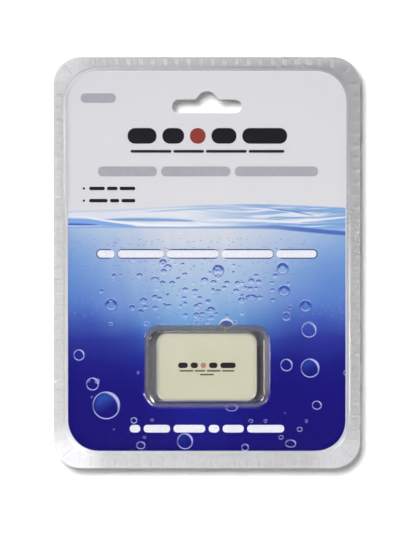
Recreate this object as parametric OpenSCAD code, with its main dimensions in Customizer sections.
// Magnetic glass cleaner in its clear hanging pack.
//
// The pack hangs upright: +Z is up and its front faces -Y. The origin is the
// centre of the hang slot, in the middle of the printed card's thickness.
// The outer half of the cleaner lies in the front bubble, the floating half
// in the rear bubble, and they pull together through a window in the card.

/* [Pack outline] */
// Width of the clear shells
pack_w = 140.4; // [134:0.1:150]
// Height of the clear shells
pack_h = 188.4; // [182:0.1:196]
// Corner radius of the clear shells
pack_r = 12.5; // [8:0.5:16]
// Height of the shells' top edge above the slot's centre
pack_top = 22.6; // [20:0.1:26]
// Thickness of the clear film
film_t = 0.4; // [0.3:0.05:0.5]
// Depth of the shallow pocket that holds the card, in each shell
pocket_d = 1; // [0.8:0.1:1.5]

/* [Printed card] */
// Width of the card
card_w = 128.4; // [120:0.1:129]
// Height of the card
card_h = 174.8; // [165:0.1:176]
// Corner radius of the card
card_r = 14.5; // [10:0.5:18]
// Thickness of the card
card_t = 0.5; // [0.3:0.05:0.7]
// Sideways play that the card has taken up in its pocket
card_shift = 0.6; // [-1:0.1:1]
// Room between the card's edge and the wall of its pocket
pocket_gap = 1.5; // [1.4:0.1:2]
// Ledge that the card leaves along the bottom of the bubble
window_ledge = 1.8; // [0:0.1:2]

/* [Hang slot] */
// Length of the slot, end to end
slot_w = 32; // [28:0.5:34]
// Height of the slot's straight part
slot_h = 6.4; // [5:0.1:8]
// Height of the centre hump above the slot's straight part
slot_hump = 3.8; // [3:0.1:5]
// Radius of the hump's round top
hump_r = 4.6; // [4:0.1:4.8]
// Width of the hump where it flares into the slot
hump_w = 10.8; // [10:0.1:13]

/* [Bubbles] */
// Width of a bubble at its foot
bubble_w = 57; // [55:0.1:60]
// Height of a bubble at its foot
bubble_h = 37.5; // [36:0.1:40]
// Corner radius of a bubble at its foot
bubble_r = 7; // [5:0.5:9]
// How far a bubble's sides lean in on each side
bubble_lean = 2.7; // [1:0.1:2.8]
// Depth of a bubble, from the card's middle to its flat face
bubble_d = 14.2; // [14.2:0.1:20]

/* [Cleaner] */
// Width of each half
cleaner_w = 45.2; // [43:0.1:46]
// Height of each half
cleaner_h = 30.4; // [28:0.1:30.8]
// Corner radius of each half
cleaner_r = 4.6; // [4.2:0.1:6]
// Radius of the rounded edge around each half's face
edge_r = 1.6; // [0.8:0.1:2]
// Height of the cleaner's centre below the slot's centre
cleaner_drop = 118.8; // [110:0.1:125]
// Thickness of the card that keeps the two pads apart
spacer_t = 0.4; // [0.2:0.1:0.6]

/* [Outer half] */
// Depth of the outer half's moulded body, without pad and tape
outer_body_t = 10; // [10:0.1:10.8]
// Wall thickness of the outer cap
outer_wall = 1.4; // [1:0.1:1.6]
// Thickness of the felt pad
felt_t = 1.6; // [1:0.1:2]

/* [Floating half] */
// Depth of the floating half's moulded body, without pad and tape
float_body_t = 10.2; // [9.6:0.1:10.2]
// Wall thickness of the floating cap
float_wall = 1.1; // [1:0.1:1.4]
// Thickness of the hook-faced scrubbing pad
scrub_t = 2.4; // [1.6:0.1:2.6]

/* [Hidden] */
$fn = 64;

FRONT = -1;
BACK = 1;
tape_t = 0.2;
base_t = 1.4;
base_gap = 0.1;
pad_inset = 0.5;
tape_inset = 1.6;
hull_fn = 32;
sliver = 0.01;
// Where the flare leaves the hump's round top, in degrees above level
hump_flare = 40;

pack_z = pack_top - pack_h / 2;
card_z = -70.8;
pocket_w = card_w + 2 * pocket_gap;
pocket_h = card_h + 2 * pocket_gap;
pocket_r = card_r + pocket_gap;
window_w = bubble_w - 1;
window_h = bubble_h - 1 - window_ledge;

// Distances from the card's middle, one after another through the outer half
felt_y = spacer_t / 2;
felt_tape_y = felt_y + felt_t;
outer_y = felt_tape_y + tape_t;
outer_magnet_y = outer_y + base_t;
outer_magnet_t = 4.8;
outer_keeper_y = outer_magnet_y + outer_magnet_t;
outer_keeper_t = 0.8;
outer_filler_y = outer_keeper_y + outer_keeper_t;
outer_face_y = outer_y + outer_body_t;
outer_magnet_w = 18.4;
outer_magnet_h = 24;
outer_rib_w = 1.6;

// The same distances through the floating half
scrub_y = spacer_t / 2;
scrub_tape_y = scrub_y + scrub_t;
float_y = scrub_tape_y + tape_t;
float_magnet_y = float_y + base_t;
float_magnet_t = 3;
float_keeper_y = float_magnet_y + float_magnet_t;
float_keeper_t = 0.5;
float_foam_y = float_keeper_y + float_keeper_t;
float_face_y = float_y + float_body_t;
float_magnet_w = 12;
float_magnet_h = 16;
float_rib_w = 2;
seal_w = 1;

// Rounded rectangle, centred
module rounded(w, h, r) {
    square([w - 2 * r, h], center = true);
    square([w, h - 2 * r], center = true);
    for (sx = [-1, 1], sy = [-1, 1])
        translate([sx * (w / 2 - r), sy * (h / 2 - r)]) circle(r);
}

// Stands a flat outline up in the XZ plane, filling near..far from the card's
// middle on the given side of it
module upright(side, near, far)
    translate([0, side == FRONT ? -near : far, 0])
        rotate([90, 0, 0])
            linear_extrude(far - near) children();

// Rounded plate parallel to the card
module plate(side, near, far, w, h, r)
    upright(side, near, far) rounded(w, h, r);

// Rounded block whose outer face has a rounded edge of radius e
module soft_block(side, near, far, w, h, r, e)
    hull() {
        plate(side, near, near + sliver, w, h, r, $fn = hull_fn);
        for (sx = [-1, 1], sz = [-1, 1])
            translate([sx * (w / 2 - r), side * (far - e), sz * (h / 2 - r)])
                rotate([90, 0, 0])
                    rotate_extrude($fn = hull_fn)
                        translate([r - e, 0]) circle(e, $fn = hull_fn);
    }

// Block with sides that lean in by lean on every side
module leaning_block(side, near, far, w, h, r, lean)
    hull() {
        plate(side, near, near + sliver, w, h, r, $fn = hull_fn);
        plate(side, far - sliver, far, w - 2 * lean, h - 2 * lean, r - lean / 2, $fn = hull_fn);
    }

// Hang slot: a long round-ended slot with a flared round hump in its top edge
module slot_outline() {
    hump_z = slot_h / 2 + slot_hump - hump_r;
    flare_x = hump_r * cos(hump_flare);
    flare_z = hump_z + hump_r * sin(hump_flare);
    rounded(slot_w, slot_h, slot_h / 2 - sliver);
    translate([0, hump_z]) circle(hump_r);
    polygon([[-hump_w / 2, slot_h / 2], [-flare_x, flare_z],
             [flare_x, flare_z], [hump_w / 2, slot_h / 2], [0, 0]]);
}

module at_cleaner()
    translate([0, 0, -cleaner_drop]) children();

// Printed card with the hang slot and a window for the cleaner
module printed_card()
    color("mediumblue") difference() {
        translate([card_shift, 0, card_z])
            plate(BACK, -card_t / 2, card_t / 2, card_w, card_h, card_r);
        upright(BACK, -card_t, card_t) slot_outline();
        at_cleaner() translate([0, 0, window_ledge / 2])
            plate(BACK, -card_t, card_t, window_w, window_h, bubble_r);
    }

// Loose card between the felt pad and the scrubbing pad
module spacer_card()
    color("tan") at_cleaner()
        plate(BACK, -spacer_t / 2, spacer_t / 2, cleaner_w - 1, cleaner_h - 1, cleaner_r);

// One clear shell: sealing flange, card pocket and bubble in one formed film
module shell(side)
    difference() {
        union() {
            translate([0, 0, pack_z]) plate(side, 0, film_t, pack_w, pack_h, pack_r);
            translate([0, 0, card_z]) plate(side, 0, pocket_d, pocket_w, pocket_h, pocket_r);
            at_cleaner() leaning_block(side, pocket_d / 2, bubble_d,
                bubble_w, bubble_h, bubble_r, bubble_lean);
        }
        translate([0, 0, card_z])
            plate(side, -film_t, pocket_d - film_t,
                pocket_w - 2 * film_t, pocket_h - 2 * film_t, pocket_r - film_t);
        at_cleaner() leaning_block(side, pocket_d / 2 - film_t, bubble_d - film_t,
            bubble_w - 2 * film_t, bubble_h - 2 * film_t, bubble_r - film_t, bubble_lean);
        upright(side, -film_t, 2 * pocket_d) slot_outline();
    }

module front_shell() color("lightcyan", 0.3) shell(FRONT);

module back_shell() color("lightcyan", 0.3) shell(BACK);

// Moulded cap of a half: rounded block, open towards the glass
module cap(side, near, far, wall)
    difference() {
        soft_block(side, near, far, cleaner_w, cleaner_h, cleaner_r, edge_r);
        plate(side, near - 1, far - wall,
            cleaner_w - 2 * wall, cleaner_h - 2 * wall, cleaner_r - wall);
    }

// Flat base that closes a cap, with a rib that parts the two magnets
module base(side, near, wall, rib_w, rib_h, rib_t) {
    inset = 2 * wall + 2 * base_gap;
    plate(side, near, near + base_t,
        cleaner_w - inset, cleaner_h - inset, cleaner_r - wall);
    upright(side, near + base_t / 2, near + base_t + rib_t)
        square([rib_w, rib_h], center = true);
}

// One of a pair of block magnets, to the left (-1) or right (+1) of the rib
module magnet(side, hand, near, t, w, h, rib_w)
    upright(side, near, near + t)
        translate([hand * (rib_w / 2 + base_gap + w / 2), 0])
            square([w, h], center = true);

// Steel plate across the backs of both magnets
module keeper(side, near, t, magnet_w, magnet_h, rib_w)
    upright(side, near, near + t)
        square([2 * magnet_w + rib_w + 2 * base_gap, magnet_h], center = true);

// Adhesive sheet or pad on the face that meets the glass
module glass_side_sheet(side, near, t, inset)
    plate(side, near, near + t,
        cleaner_w - 2 * inset, cleaner_h - 2 * inset, cleaner_r - inset);

module outer_cap()
    color("lightgoldenrodyellow") at_cleaner() cap(FRONT, outer_y, outer_face_y, outer_wall);

module outer_base()
    color("beige") at_cleaner()
        base(FRONT, outer_y, outer_wall, outer_rib_w, outer_magnet_h, outer_magnet_t);

module outer_magnet(hand)
    color("dimgray") at_cleaner()
        magnet(FRONT, hand, outer_magnet_y, outer_magnet_t,
            outer_magnet_w, outer_magnet_h, outer_rib_w);

module outer_magnet_left() outer_magnet(-1);

module outer_magnet_right() outer_magnet(1);

module outer_keeper()
    color("silver") at_cleaner()
        keeper(FRONT, outer_keeper_y, outer_keeper_t,
            outer_magnet_w, outer_magnet_h, outer_rib_w);

// Foam that presses the magnets onto the base
module outer_filler()
    color("whitesmoke") at_cleaner()
        upright(FRONT, outer_filler_y, outer_face_y - outer_wall)
            square([2 * outer_magnet_w, outer_magnet_h], center = true);

module felt_tape()
    color("khaki") at_cleaner() glass_side_sheet(FRONT, felt_tape_y, tape_t, tape_inset);

module felt_pad()
    color("slategray") at_cleaner() glass_side_sheet(FRONT, felt_y, felt_t, pad_inset);

module float_cap()
    color("lightgoldenrodyellow") at_cleaner() cap(BACK, float_y, float_face_y, float_wall);

module float_base()
    color("beige") at_cleaner()
        base(BACK, float_y, float_wall, float_rib_w, float_magnet_h, float_magnet_t);

// Sealing bead in the corner between the base and the cap's wall
module float_seal()
    color("black") at_cleaner()
        upright(BACK, float_magnet_y, float_magnet_y + seal_w) difference() {
            bead_w = cleaner_w - 2 * float_wall - base_gap;
            bead_h = cleaner_h - 2 * float_wall - base_gap;
            rounded(bead_w, bead_h, cleaner_r - float_wall);
            rounded(bead_w - 2 * seal_w, bead_h - 2 * seal_w, cleaner_r - float_wall - seal_w);
        }

module float_magnet(hand)
    color("dimgray") at_cleaner()
        magnet(BACK, hand, float_magnet_y, float_magnet_t,
            float_magnet_w, float_magnet_h, float_rib_w);

module float_magnet_left() float_magnet(-1);

module float_magnet_right() float_magnet(1);

module float_keeper()
    color("silver") at_cleaner()
        keeper(BACK, float_keeper_y, float_keeper_t,
            float_magnet_w, float_magnet_h, float_rib_w);

// Closed-cell foam that keeps the half afloat
module float_foam()
    color("white") at_cleaner()
        upright(BACK, float_foam_y, float_face_y - float_wall)
            square([cleaner_w - 6, cleaner_h - 6], center = true);

module scrub_tape()
    color("khaki") at_cleaner() glass_side_sheet(BACK, scrub_tape_y, tape_t, tape_inset);

module scrub_pad()
    color("black") at_cleaner() glass_side_sheet(BACK, scrub_y, scrub_t, pad_inset);

printed_card();
spacer_card();
outer_cap();
outer_base();
outer_magnet_left();
outer_magnet_right();
outer_keeper();
outer_filler();
felt_tape();
felt_pad();
float_cap();
float_base();
float_seal();
float_magnet_left();
float_magnet_right();
float_keeper();
float_foam();
scrub_tape();
scrub_pad();
front_shell();
back_shell();
